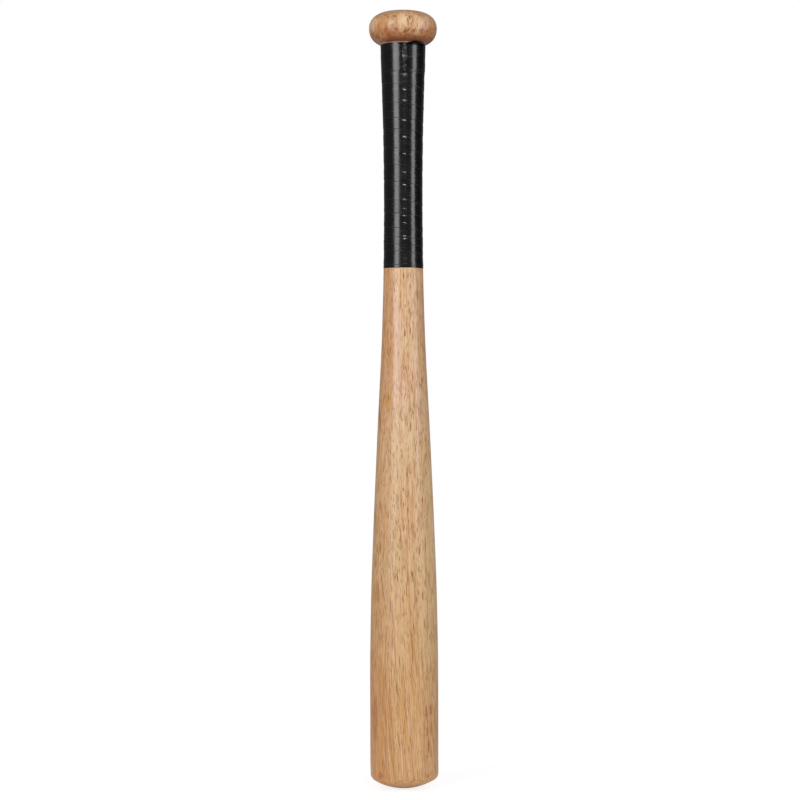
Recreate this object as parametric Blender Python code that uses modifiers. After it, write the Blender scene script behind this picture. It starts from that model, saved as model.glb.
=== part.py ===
# A turned wooden baseball bat with a tape-wound grip.
# It stands on its barrel end, knob up, with its axis on Z. Every size is in metres.

import math

import bpy
from mathutils import Vector
from mathutils.bvhtree import BVHTree

# Turned outline: the run of each stretch from the barrel end up to the knob, and the radius at its top
BARREL_RUN = 0.095
BARREL_RADIUS = 0.02905
SWELL_RUN = 0.060
SWELL_RADIUS = 0.0282
SHOULDER_RUN = 0.060
SHOULDER_RADIUS = 0.0262
UPPER_TAPER_RUN = 0.085
UPPER_TAPER_RADIUS = 0.0225
LOWER_TAPER_RUN = 0.090
LOWER_TAPER_RADIUS = 0.0182
NECK_RUN = 0.050
NECK_RADIUS = 0.0169
WAIST_RUN = 0.060
WAIST_RADIUS = 0.0162
HAND_RUN = 0.052
HAND_RADIUS = 0.0167
FLARE_RUN = 0.080
FLARE_RADIUS = 0.01905

# Barrel end: a shallow dome with a small turned-off flat in its middle
END_FLAT_RADIUS = 0.0072
END_DOME_RADIUS = 0.051
END_CORNER_RADIUS = 0.0060

# Knob: two quarter rounds, a little squarer than circles
KNOB_RADIUS = 0.0289
KNOB_FACE_RADIUS = 0.0100
KNOB_TOP_HALF = 0.0138
KNOB_UNDER_HALF = 0.0142
KNOB_SQUARENESS = 2.2

# Grip tape: one strip, wound from its lower end up
TURN_RISES = (0.0026, 0.0113, 0.0060, 0.0060, 0.0076, 0.0126, 0.0106, 0.0156,
              0.0143, 0.0140, 0.0165, 0.0092, 0.0127, 0.0157, 0.0116, 0.0016)
TAPE_WIDTH = 0.0244
TAPE_EDGE = 0.0005        # how far each turn's lower edge stands on the seat, over the turn below
TAPE_THICKNESS = 0.0003   # the strip itself, at its upper edge
TAPE_CLEARANCE = 0.0003   # between the strip and the wood of its seat
LAP_GAP = 0.00045         # square across the slanting gap between two turns
LAP_SLANT = math.radians(50)
FIRST_TURN_LEAD = 0.25    # turns of the level start that show before the front
END_SHORT_OF_FRONT = 0.04  # turns by which the strip's end stops short of the front
SEAT_END_GAP = 0.0004     # between the strip's ends and the wood above and below it

# Fineness of the round surfaces
SIDES = 48
SECTIONS_PER_TURN = 36
KNOB_STEPS = 9
DOME_STEPS = 4
CORNER_STEPS = 4
OUTLINE_STEP = 0.012

WOOD_COLOUR = (0.62, 0.39, 0.20, 1.0)
TAPE_COLOUR = (0.012, 0.012, 0.013, 1.0)

# Heights that follow from the sizes above
FLARE_TOP = (BARREL_RUN + SWELL_RUN + SHOULDER_RUN + UPPER_TAPER_RUN + LOWER_TAPER_RUN
             + NECK_RUN + WAIST_RUN + HAND_RUN + FLARE_RUN)
KNOB_WIDEST = FLARE_TOP + KNOB_UNDER_HALF
BAT_LENGTH = KNOB_WIDEST + KNOB_TOP_HALF
SEAT_DEPTH = TAPE_CLEARANCE + TAPE_EDGE


def outline_stations():
    # Heights and radii of the turned outline, each run added to the one below it
    runs = (
        (BARREL_RUN, BARREL_RADIUS), (SWELL_RUN, SWELL_RADIUS), (SHOULDER_RUN, SHOULDER_RADIUS),
        (UPPER_TAPER_RUN, UPPER_TAPER_RADIUS), (LOWER_TAPER_RUN, LOWER_TAPER_RADIUS),
        (NECK_RUN, NECK_RADIUS), (WAIST_RUN, WAIST_RADIUS), (HAND_RUN, HAND_RADIUS),
        (FLARE_RUN, FLARE_RADIUS),
    )
    height = 0.0
    stations = [(height, BARREL_RADIUS)]
    for run, radius in runs:
        height += run
        stations.append((height, radius))
    return stations


def smooth_through(stations, position):
    # A smooth curve through the stations that never swings past them
    slopes = []
    for (x0, y0), (x1, y1) in zip(stations, stations[1:]):
        slopes.append((y1 - y0) / (x1 - x0))
    tangents = [slopes[0]]
    for before, after in zip(slopes, slopes[1:]):
        same_way = before * after > 0
        tangents.append(2 * before * after / (before + after) if same_way else 0.0)
    tangents.append(slopes[-1])
    last = len(stations) - 2
    index = 0
    while index < last and position > stations[index + 1][0]:
        index += 1
    (x0, y0), (x1, y1) = stations[index], stations[index + 1]
    run = x1 - x0
    t = (position - x0) / run
    blend = t * t * (3 - 2 * t)
    start_pull = t * (1 - t) * (1 - t) * run * tangents[index]
    end_pull = t * t * (t - 1) * run * tangents[index + 1]
    return y0 + (y1 - y0) * blend + start_pull + end_pull


OUTLINE = outline_stations()


def outline_radius(height):
    # Outside of the bat at a height: bare wood, or the tape where the grip is
    return smooth_through(OUTLINE, height)


def seat_radius(height):
    # The handle under the tape is turned this much smaller, so that the grip lies flush
    return outline_radius(height) - SEAT_DEPTH


def knob_underside(radius):
    # Height of the knob's lower round at a radius; its round starts at the axis side of the handle
    centre = FLARE_RADIUS - (KNOB_RADIUS - FLARE_RADIUS) / 2
    across = max(0.0, (radius - centre) / (KNOB_RADIUS - centre))
    down = (1 - across ** KNOB_SQUARENESS) ** (1 / KNOB_SQUARENESS)
    return KNOB_WIDEST - KNOB_UNDER_HALF * down


def material(name, colour, roughness):
    finish = bpy.data.materials.new(name)
    finish.use_nodes = True
    shader = finish.node_tree.nodes["Principled BSDF"]
    shader.inputs["Base Color"].default_value = colour
    shader.inputs["Roughness"].default_value = roughness
    shader.inputs["Metallic"].default_value = 0.0
    finish.diffuse_color = colour
    return finish


# Heights of the grip

GRIP_TOP = knob_underside(FLARE_RADIUS - SEAT_DEPTH) - SEAT_END_GAP - TAPE_THICKNESS * math.tan(LAP_SLANT)
GRIP_BOTTOM = GRIP_TOP - TAPE_WIDTH - sum(TURN_RISES[:-1])
SEAT_BOTTOM = GRIP_BOTTOM - SEAT_END_GAP


# Bat body: knob, handle and barrel turned from one billet

def knob_points():
    # From the middle of the knob's face, over its round and in under it to the handle's seat
    points = [(0.0, BAT_LENGTH)]
    power = 2 / KNOB_SQUARENESS
    for step in range(KNOB_STEPS + 1):
        angle = math.pi / 2 * step / KNOB_STEPS
        across = math.sin(angle) ** power
        up = math.cos(angle) ** power
        radius = KNOB_FACE_RADIUS + (KNOB_RADIUS - KNOB_FACE_RADIUS) * across
        points.append((radius, KNOB_WIDEST + KNOB_TOP_HALF * up))
    seat = FLARE_RADIUS - SEAT_DEPTH
    for step in range(1, KNOB_STEPS + 1):
        angle = math.pi / 2 * step / KNOB_STEPS
        radius = seat + (KNOB_RADIUS - seat) * math.cos(angle)
        points.append((radius, knob_underside(radius)))
    return points


def spaced(top, bottom):
    # Even heights from top down to bottom, both ends included
    steps = max(2, round((top - bottom) / OUTLINE_STEP))
    return [top + (bottom - top) * step / steps for step in range(steps + 1)]


def barrel_end_points():
    # Rounded corner that runs into the dome, then the flat in the dome's middle
    dome_top = END_DOME_RADIUS - math.sqrt(END_DOME_RADIUS ** 2 - END_FLAT_RADIUS ** 2)
    dome_centre = END_DOME_RADIUS - dome_top
    corner_from_axis = BARREL_RADIUS - END_CORNER_RADIUS
    meet = math.asin(corner_from_axis / (END_DOME_RADIUS - END_CORNER_RADIUS))
    corner_height = dome_centre - (END_DOME_RADIUS - END_CORNER_RADIUS) * math.cos(meet)
    points = []
    for step in range(CORNER_STEPS + 1):
        angle = math.pi / 2 + (meet - math.pi / 2) * step / CORNER_STEPS
        points.append((corner_from_axis + END_CORNER_RADIUS * math.sin(angle),
                       corner_height - END_CORNER_RADIUS * math.cos(angle)))
    flat = math.asin(END_FLAT_RADIUS / END_DOME_RADIUS)
    for step in range(1, DOME_STEPS + 1):
        angle = meet + (flat - meet) * step / DOME_STEPS
        points.append((END_DOME_RADIUS * math.sin(angle),
                       dome_centre - END_DOME_RADIUS * math.cos(angle)))
    points.append((0.0, 0.0))
    return points


def bat_profile():
    seat_top = knob_underside(FLARE_RADIUS - SEAT_DEPTH)
    points = knob_points()
    points += [(seat_radius(height), height) for height in spaced(seat_top, SEAT_BOTTOM)[1:]]
    points += [(outline_radius(height), height) for height in spaced(SEAT_BOTTOM, BARREL_RUN)]
    points += barrel_end_points()
    return points


def make_bat_body(collection, parent):
    points = bat_profile()
    mesh = bpy.data.meshes.new("bat_body")
    vertices = [(radius, 0.0, height) for radius, height in points]
    edges = [(index, index + 1) for index in range(len(vertices) - 1)]
    mesh.from_pydata(vertices, edges, [])
    mesh.materials.append(material("lacquered_wood", WOOD_COLOUR, 0.35))
    body = bpy.data.objects.new("bat_body", mesh)
    collection.objects.link(body)
    body.parent = parent
    turning = body.modifiers.new("turning", "SCREW")
    turning.axis = "Z"
    turning.angle = 2 * math.pi
    turning.steps = SIDES
    turning.render_steps = SIDES
    turning.use_merge_vertices = True
    turning.merge_threshold = 0.00001
    turning.use_smooth_shade = True
    return body


# Grip tape: one unbroken flat strip; each turn's lower edge stands over the upper edge of the turn below

LAST_TURN = len(TURN_RISES) - END_SHORT_OF_FRONT


def turn_stations():
    # Height of the strip's lower edge at each pass of the front, above the grip's bottom
    stations = [(-1.0, 0.0), (0.0, 0.0)]
    for turn, rise in enumerate(TURN_RISES):
        stations.append((turn + 1.0, stations[-1][1] + rise))
    return stations


TURNS = turn_stations()


def lower_edge(turn):
    return GRIP_BOTTOM + smooth_through(TURNS, turn)


def lap_spacing():
    # Axial distance between two turns' edges that leaves the gap square across the slant
    return LAP_GAP / math.cos(LAP_SLANT) - (TAPE_EDGE - TAPE_THICKNESS) * math.tan(LAP_SLANT)


def upper_edge(turn):
    if turn + 1 <= LAST_TURN:
        return lower_edge(turn + 1) - lap_spacing()
    return GRIP_TOP


def tape_section(turn, top):
    # Four corners of the strip at one place: lower outer, upper outer, upper inner, lower inner
    slant = math.tan(LAP_SLANT)
    bottom = lower_edge(turn)
    inner_bottom = bottom + TAPE_EDGE * slant
    inner_top = top + TAPE_THICKNESS * slant
    corners = (
        (seat_radius(bottom) + TAPE_CLEARANCE + TAPE_EDGE, bottom),
        (seat_radius(top) + TAPE_CLEARANCE + TAPE_THICKNESS, top),
        (seat_radius(inner_top) + TAPE_CLEARANCE, inner_top),
        (seat_radius(inner_bottom) + TAPE_CLEARANCE, inner_bottom),
    )
    angle = -math.pi / 2 - 2 * math.pi * turn
    return [Vector((radius * math.cos(angle), radius * math.sin(angle), height))
            for radius, height in corners]


def tape_sections():
    # Sections along the strip; where its end lies, the strip widens to its full width in one short step
    start = -FIRST_TURN_LEAD
    widen = LAST_TURN - 1
    gap_turns = LAP_GAP / (2 * math.pi * (FLARE_RADIUS - SEAT_DEPTH))
    sections = []
    for first, last, whole in ((start, widen, False), (widen + gap_turns, LAST_TURN, True)):
        steps = round((last - first) * SECTIONS_PER_TURN)
        for step in range(steps + 1):
            turn = first + (last - first) * step / steps
            top = GRIP_TOP if whole else upper_edge(turn)
            sections.append(tape_section(turn, top))
    return sections


def least_gap(sections):
    # The least distance from any corner or edge middle of the strip to another turn's faces
    half = SECTIONS_PER_TURN // 2
    least = math.inf
    for first in range(0, len(sections) - half, half):
        stretch = sections[first:first + half]
        beyond = sections[first + 2 * half - half // 2:first + 4 * half]
        if len(beyond) < 2:
            continue
        points = [corner for section in beyond for corner in section]
        faces = []
        for place in range(len(beyond) - 1):
            for side in range(4):
                here = 4 * place + side
                there = 4 * place + (side + 1) % 4
                faces.append((here, there, there + 4, here + 4))
        tree = BVHTree.FromPolygons(points, faces)
        for section in stretch:
            for side in range(4):
                corner = section[side]
                middle = (corner + section[(side + 1) % 4]) / 2
                for point in (corner, middle):
                    least = min(least, tree.find_nearest(point)[3])
    return least


def make_grip_tape(collection, parent):
    # A loft between sections whose width changes from turn to turn
    sections = tape_sections()
    base = Vector((0.0, 0.0, GRIP_BOTTOM))
    vertices = [corner - base for section in sections for corner in section]
    faces = [(3, 2, 1, 0)]
    for place in range(len(sections) - 1):
        for side in range(4):
            here = 4 * place + side
            there = 4 * place + (side + 1) % 4
            faces.append((here, there, there + 4, here + 4))
    end = 4 * (len(sections) - 1)
    faces.append((end, end + 1, end + 2, end + 3))
    mesh = bpy.data.meshes.new("grip_tape")
    mesh.from_pydata(vertices, [], faces)
    mesh.materials.append(material("black_tape", TAPE_COLOUR, 0.3))
    mesh.shade_smooth()
    mesh.set_sharp_from_angle(angle=math.radians(35))
    tape = bpy.data.objects.new("grip_tape", mesh)
    collection.objects.link(tape)
    tape.parent = parent
    tape.location = base
    length = sum((after[0] - before[0]).length for before, after in zip(sections, sections[1:]))
    print("grip_tape: %.2f turns, %.2f m along its lower edge" % (LAST_TURN + FIRST_TURN_LEAD, length))
    print("grip_tape: least gap to itself %.3f mm" % (least_gap(sections) * 1000))
    return tape


def make_bat():
    for leftover in list(bpy.data.objects):
        bpy.data.objects.remove(leftover, do_unlink=True)
    collection = bpy.data.collections.new("baseball_bat")
    bpy.context.scene.collection.children.link(collection)
    frame = bpy.data.objects.new("baseball_bat", None)
    collection.objects.link(frame)
    make_bat_body(collection, frame)
    make_grip_tape(collection, frame)
    print("bat length %.1f mm, grip %.1f to %.1f mm" % (BAT_LENGTH * 1000, GRIP_BOTTOM * 1000, GRIP_TOP * 1000))


make_bat()
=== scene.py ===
# A turned wooden bat with a tape-wound grip: its surfaces and finishes, in a plain pale studio.
import math

import bpy
import numpy as np
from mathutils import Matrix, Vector


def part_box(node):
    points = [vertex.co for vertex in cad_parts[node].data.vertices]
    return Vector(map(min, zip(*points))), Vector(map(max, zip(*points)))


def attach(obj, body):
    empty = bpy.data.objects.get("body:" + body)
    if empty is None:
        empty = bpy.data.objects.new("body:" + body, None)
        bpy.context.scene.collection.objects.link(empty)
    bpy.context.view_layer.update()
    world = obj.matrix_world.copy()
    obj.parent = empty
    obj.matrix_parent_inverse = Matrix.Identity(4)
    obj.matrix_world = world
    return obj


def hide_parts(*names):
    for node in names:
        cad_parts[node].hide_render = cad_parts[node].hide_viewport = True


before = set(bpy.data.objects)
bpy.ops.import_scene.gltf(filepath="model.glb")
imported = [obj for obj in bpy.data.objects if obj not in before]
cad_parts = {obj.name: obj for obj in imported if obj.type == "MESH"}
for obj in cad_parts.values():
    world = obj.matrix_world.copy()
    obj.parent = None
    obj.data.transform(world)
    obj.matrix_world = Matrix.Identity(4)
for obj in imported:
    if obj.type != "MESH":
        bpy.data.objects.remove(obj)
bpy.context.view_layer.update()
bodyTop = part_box("bat_body")[1].z
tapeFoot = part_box("grip_tape")[0].z
print("frame loaded:", ", ".join(sorted(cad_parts)))


# Meshes

sharpAngle = math.radians(50)  # a fold steeper than this stays crisp


def ringQuads(rows, columns):
    # Corner numbers of a grid's quads, rows running down and columns running round and joined
    row = np.arange(rows - 1)[:, None] * columns
    here = np.arange(columns)[None, :]
    there = (here + 1) % columns
    corners = [row + here, row + columns + here, row + columns + there, row + there]
    return np.stack(corners, axis=-1).reshape(-1, 4)


def onCircle(radius, angle, height):
    return np.stack([radius * np.cos(angle), radius * np.sin(angle), height], axis=-1)


def addPiece(name, vertices, faces, material, node):
    mesh = bpy.data.meshes.new(name)
    mesh.from_pydata(vertices.tolist(), [], faces)
    mesh.materials.append(material)
    mesh.shade_smooth()
    mesh.set_sharp_from_angle(angle=sharpAngle)
    piece = bpy.data.objects.new(name, mesh)
    bpy.context.scene.collection.objects.link(piece)
    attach(piece, "root")
    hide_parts(node)
    print("made %s: %d faces" % (name, len(faces)))
    return piece


def smoothThrough(places, values, at):
    # Cubic from station to station; the slope at each is the harmonic mean of the slopes on both sides
    run = np.diff(places)
    slope = np.diff(values) / run
    product = slope[:-1] * slope[1:]
    total = np.where(product > 0, slope[:-1] + slope[1:], 1.0)
    middle = np.where(product > 0, 2 * product / total, 0.0)
    tangent = np.concatenate([slope[:1], middle, slope[-1:]])
    i = np.clip(np.searchsorted(places, at) - 1, 0, len(run) - 1)
    t = (at - places[i]) / run[i]
    climb = (values[i + 1] - values[i]) * t * t * (3 - 2 * t)
    pull = t * (1 - t) ** 2 * tangent[i] + t * t * (t - 1) * tangent[i + 1]
    return values[i] + climb + run[i] * pull


def softStep(low, high, value):
    # From 0 at low to 1 at high, level at both; low may be the larger
    t = np.clip((value - low) / (high - low), 0.0, 1.0)
    return t * t * (3 - 2 * t)


def bell(distance, width):
    # 1 in the middle, about a third one width away from it
    return np.exp(-(distance / width) ** 2)


def waves(rows, u, v):
    # Sines added up; each row gives its strength, how fast it runs with u and with v, and where it starts
    return sum(strength * np.sin(a * u + b * v + start) for strength, a, b, start in rows)


def after(first, last, count):
    # Even steps from first to last, without the first itself
    return np.linspace(first, last, count)[1:]


# Wood: knob, handle and barrel as one turned surface

bat = {
    # Stretches from the barrel end up, and the radii between them
    "runs": (0.095, 0.060, 0.060, 0.085, 0.090, 0.050, 0.060, 0.052, 0.080),
    "radii": (0.02905, 0.02905, 0.0282, 0.0262, 0.0225, 0.0182, 0.0169, 0.0162, 0.0167, 0.01905),
    "knobRadius": 0.0289,
    "knobFace": 0.0100,  # radius of the flat on top
    "knobTopHalf": 0.0138,
    "knobSquareness": 2.2,  # 2 is a circle
    "neckFillet": 0.0012,
    "neckDrop": 0.0003,  # the knob's underside ends this far below the flare
    "underTape": 0.00030,  # the handle is this much slimmer where most turns lie
    "slimFrom": (0.001, 0.012),  # it slims over this stretch above the tape's foot
    "slimUntil": (0.035, 0.065),  # and is full again over this one
    "domeRadius": 0.051,
    "endFlat": 0.0072,
    "cornerRadius": 0.0060,
    "endZone": 0.03,  # height below which the barrel's rows are closer
    "endLean": 0.00028,  # the left side leans in this much over the last of the barrel
    "leanHeights": (0.022, 0.010),
    "leanRadii": (0.020, 0.027),
    "endTilt": 0.012,  # slope of the end: lower on the left
    "tiltPivot": 0.010,  # the tilt turns about a line this far left of the axis
    "tiltHeights": (0.0, 0.02),  # and has died away at the second height
    "tiltRadii": (0.0, 0.004),  # the very middle stays level
    "nubHeight": 0.00010,
    "nubRadii": (0.00064, 0.00256),  # it falls away between these
    "centreMark": 0.0004,
    "centreMarkWidth": 0.0013,
    "unevenness": 0.00002,  # what hand sanding leaves
    "sanding": ((1.0, 2, 31, 0.0), (0.7, 3, -57, 1.0), (0.5, 5, 113, 2.0)),  # slow waves, as in waves()
    "sandedFrom": (0.008, 0.03),  # heights over which they set in
    "sandedUntil": 0.02,  # and this far below the knob they have died away
    "columns": 200,
    "rows": {"face": 24, "top": 40, "under": 44, "fillet": 9, "handle": 300,
             "wall": 9, "corner": 15, "dome": 22, "flat": 26},
}

stationHeights = np.concatenate([[0.0], np.cumsum(bat["runs"])])
stationRadii = np.array(bat["radii"])
flareTop = stationHeights[-1]
flareRadius = stationRadii[-1]
knobWidest = bodyTop - bat["knobTopHalf"]
knobUnderHalf = knobWidest - flareTop + bat["neckDrop"]


def handleRadius(height):
    # The outline's radius, slimmed under the close turns at the tape's lower end
    above = height - tapeFoot
    slim = softStep(*bat["slimFrom"], above) * (1 - softStep(*bat["slimUntil"], above))
    return smoothThrough(stationHeights, stationRadii, height) - bat["underTape"] * slim


def knobRows():
    # From the middle of the face out, over the round (a power curve, squarer than a circle) and under
    rows = bat["rows"]
    across = after(0.0, 1.0, rows["face"]) * bat["knobFace"]
    face = np.stack([across, bodyTop - bat["centreMark"] * bell(across, bat["centreMarkWidth"])])
    power = 2 / bat["knobSquareness"]
    turn = after(0.0, math.pi / 2, rows["top"])
    top = np.stack([bat["knobFace"] + (bat["knobRadius"] - bat["knobFace"]) * np.sin(turn) ** power,
                    knobWidest + bat["knobTopHalf"] * np.cos(turn) ** power])
    centre = flareRadius - (bat["knobRadius"] - flareRadius) / 2
    reach = bat["knobRadius"] - centre
    neck = handleRadius(np.array([flareTop]))[0]
    last = (neck + bat["neckFillet"] - centre) / reach
    turn = after(0.0, math.acos(last ** (1 / power)), rows["under"])
    under = np.stack([centre + reach * np.cos(turn) ** power,
                      knobWidest - knobUnderHalf * np.sin(turn) ** power])
    # Fillet: the quadratic curve whose handle is the inner corner
    start = under[:, -1]
    corner = np.array([neck, start[1] - bat["neckDrop"]])
    end = np.array([neck, corner[1] - bat["neckFillet"]])
    t = after(0.0, 1.0, rows["fillet"])
    fillet = start[:, None] * (1 - t) ** 2 + corner[:, None] * 2 * t * (1 - t) + end[:, None] * t ** 2
    return np.concatenate([face, top, under, fillet], axis=1)


def knobUnderside(height):
    # The wood's radius between the neck and the knob's widest ring; nothing below the neck
    rows = knobRows()
    rows = rows[:, rows[0].argmax():][:, ::-1]
    return np.interp(height, rows[1], rows[0], left=0.0)


def barrelRows(angle):
    # From the wall round the corner and over the dome to the flat with its nub; the left side leans in, and
    # the end is tilted down to it
    rows = bat["rows"]
    corner = bat["cornerRadius"]
    barrel = stationRadii[0]
    dome = bat["domeRadius"]
    meet = math.asin((barrel - corner) / (dome - corner))
    domeCentre = math.sqrt(dome ** 2 - bat["endFlat"] ** 2) + bat["nubHeight"]
    wallEnd = domeCentre - (dome - corner) * math.cos(meet)
    t = after(0.0, 1.0, rows["wall"])
    wall = (np.full_like(t, barrel), bat["endZone"] + (wallEnd - bat["endZone"]) * t)
    turn = after(math.pi / 2, meet, rows["corner"])
    arc = (barrel - corner + corner * np.sin(turn), wallEnd - corner * np.cos(turn))
    turn = after(meet, math.asin(bat["endFlat"] / dome), rows["dome"])
    bowl = (dome * np.sin(turn), domeCentre - dome * np.cos(turn))
    r = after(bat["endFlat"], 0.0, rows["flat"])[:-1]
    nub = (r, bat["nubHeight"] * softStep(*bat["nubRadii"], r))
    outline = np.concatenate([np.stack(part) for part in (wall, arc, bowl, nub)], axis=1)
    radius, height = outline[:, :, None]
    radius = radius * np.ones_like(angle)
    lean = softStep(*bat["leanHeights"], height) * softStep(*bat["leanRadii"], radius)
    radius = radius - bat["endLean"] * (lean * (1 - np.cos(angle)) / 2)
    tilt = bat["endTilt"] * (radius * np.cos(angle) + bat["tiltPivot"])
    tilt = tilt * (1 - softStep(*bat["tiltHeights"], height)) * softStep(*bat["tiltRadii"], radius)
    return np.stack([radius, np.maximum(height + tilt, 0.0)])


def makeTurnedBat(material):
    # The rows of the outline turned round the axis, and closed at a pole on each end
    columns = bat["columns"]
    angle = np.linspace(0.0, 2 * math.pi, columns, endpoint=False)
    knob = knobRows()
    height = after(knob[1, -1], bat["endZone"], bat["rows"]["handle"])
    handle = np.stack([handleRadius(height), height])
    turned = np.concatenate([knob, handle], axis=1)[:, :, None] * np.ones((1, 1, columns))
    radius, height = np.concatenate([turned, barrelRows(angle)], axis=1)
    # Sanding: waves round and along between 0 and 2, faded out at both ends
    strongest = sum(row[0] for row in bat["sanding"])
    calm = 1 - softStep(flareTop - bat["sandedUntil"], flareTop, height)
    calm = softStep(*bat["sandedFrom"], height) * calm
    radius = radius - bat["unevenness"] * (1 + waves(bat["sanding"], angle, height) / strongest) * calm
    points = onCircle(radius, angle, height)
    poles = [[0.0, 0.0, bodyTop - bat["centreMark"]], [0.0, 0.0, 0.0]]
    vertices = np.concatenate([points.reshape(-1, 3), poles])
    first = np.arange(columns)
    following = (first + 1) % columns
    last = (len(points) - 1) * columns
    poleTop = np.stack([np.full_like(first, len(vertices) - 2), first, following], axis=-1)
    poleEnd = np.stack([np.full_like(first, len(vertices) - 1), last + following, last + first], axis=-1)
    faces = ringQuads(len(points), columns).tolist() + poleTop.tolist() + poleEnd.tolist()
    addPiece("turned_bat", vertices, faces, material, "bat_body")


# Grip: one strip of tape wound upward, each turn lapping over the turn below

winding = {
    # From one pass of the front to the next
    "rises": (0.0026, 0.0113, 0.0060, 0.0060, 0.0076, 0.0126, 0.0106, 0.0156,
              0.0143, 0.0140, 0.0165, 0.0092, 0.0127, 0.0157, 0.0116, 0.0016),
    "lift": 0.0003,  # the turns lie this far above the lowest place
    "firstEdge": 0.0003,  # and the first one this much more
    "firstUntil": (0.3, 1.3),  # turns over which that dies away
    "width": 0.0240,
    "thickness": 0.00018,
    "layer": 0.00015,
    "turnsUnder": 5,  # no more than this many turns lie under one
    "drape": 0.0009,  # how far a turn slopes down over the edge it covers
    "drapeSoftness": 0.00013,
    "lead": 0.25,  # turns of the level start before the front
    "leadFade": 0.012,  # turns over which the start's own thickness sets in
    "cutLow": -0.032,  # the cut end: its lower corner stops this many turns short of the front
    "cutHigh": -0.040,  # and its upper corner a little more
    "shearRun": 0.5,  # turns before the cut over which the strip is sheared
    "pressRun": 0.10,  # and over which it is pressed down
    "endThickness": 0.05,  # share of the thickness that is left there
    "curl": 0.00042,  # both edges bend down over this much of the width
    "curlDepth": 0.85,  # by this share of the thickness
    "roof": 0.0002,  # the last turn stops this far under the knob
    "fold": 0.0008,  # by the cut end it climbs the knob's underside by this much
    "foldRise": 0.035,  # turns from the cut end to the fold's highest place
    "foldRun": 0.16,  # and from there until it has died away
    "foldDrop": 0.0009,  # its foot lies this far under the knob's fillet
    "foldBand": 0.00028,  # only this much of the strip's top edge climbs
    "knobGap": 1.2,  # the fold lies this many thicknesses off the wood
    "ripple": 0.000011,
    "ripples": ((1.0, 1 / 0.0034, 900, 0.0), (1.0, 1 / 0.0057, -1700, 1.3), (0.7, 1 / 0.0019, 2900, 0.4)),
    "sections": 68,  # along each turn
    "across": 36,
    "trials": 260,  # even places across, at which the crowding is worked out
    # How many more places, and how near, by the lower edge, the top edge and the covered ones
    "crowding": ((9, 0.0004), (6, 0.0007), (5, 0.0007)),
    "hiddenShare": 0.93,  # places taken away where the next turn hides the strip
    "hiddenFrom": 0.001,  # beyond its edge
    "hiddenUntil": 1.06,  # but not on this many last turns
    "edgePlaces": (0.0, 0.00004, 0.00010),
    "edgeInset": 0.0002,
    "rimPlaces": (0.00028, 0.00020, 0.00013, 0.00006, 0.0),  # back from the top edge
    "rimInset": 0.00034,
}

riseTurns = np.arange(-1.0, len(winding["rises"]) + 1.0)
riseHeights = np.concatenate([[0.0, 0.0], np.cumsum(winding["rises"])])
lastTurn = len(winding["rises"])


def lowerEdge(turn):
    inside = np.clip(turn, riseTurns[0], riseTurns[-1])
    first = winding["firstEdge"] * (1 - softStep(*winding["firstUntil"], inside))
    return tapeFoot + winding["lift"] + first + smoothThrough(riseTurns, riseHeights, inside)


def layersUnder(turn, height):
    # How many earlier turns lie under a point: each counts until its upper edge, then slopes off evenly
    count = np.zeros_like(height)
    drape, soft = winding["drape"], winding["drapeSoftness"]
    start = -winding["lead"]
    for back in range(1, winding["turnsUnder"] + 1):
        under = turn - back
        past = height - lowerEdge(under) - winding["width"]
        slope = np.logaddexp(0.0, past / soft) - np.logaddexp(0.0, (past - drape) / soft)
        count += (1 - slope * soft / drape) * softStep(start, start + winding["leadFade"], under)
    return count


def acrossPlaces(turn, reach):
    # Places across the strip, closer together at its lower edge and where a covered edge shows through
    inset = winding["edgeInset"]
    reach = reach[:, None]
    fine = np.linspace(0.0, 1.0, winding["trials"])[None, :] * (reach - inset) + inset
    low = lowerEdge(turn)[:, None]
    shown = lowerEdge(turn + 1)[:, None] - low
    (edgeMore, edgeNear), (rimMore, rimNear), (rampMore, rampNear) = winding["crowding"]
    density = 1 + edgeMore * bell(fine, edgeNear) + rimMore * bell(reach - fine, rimNear)
    for back in range(1, winding["turnsUnder"] + 1):
        ramp = lowerEdge(turn - back)[:, None] + winding["width"] + winding["drape"] / 2 - low
        density = density + rampMore * bell(fine - ramp, rampNear)
    margin = winding["hiddenFrom"]
    hidden = softStep(0.0, margin, fine - shown - margin)
    hidden = hidden * (turn[:, None] < lastTurn - winding["hiddenUntil"])
    density = density * (1 - winding["hiddenShare"] * hidden)
    total = np.cumsum(density, axis=1)
    total = (total - total[:, :1]) / (total[:, -1:] - total[:, :1])
    levels = np.linspace(0.0, 1.0, winding["across"])
    spread = np.stack([np.interp(levels, *pair) for pair in zip(total, fine)])
    edge = np.tile(winding["edgePlaces"], (len(turn), 1))
    rim = spread[:, -1:] - np.array([winding["rimPlaces"]])
    return np.concatenate([edge, spread[:, :-1] * (1 - winding["rimInset"] / reach), rim], axis=1)


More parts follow.
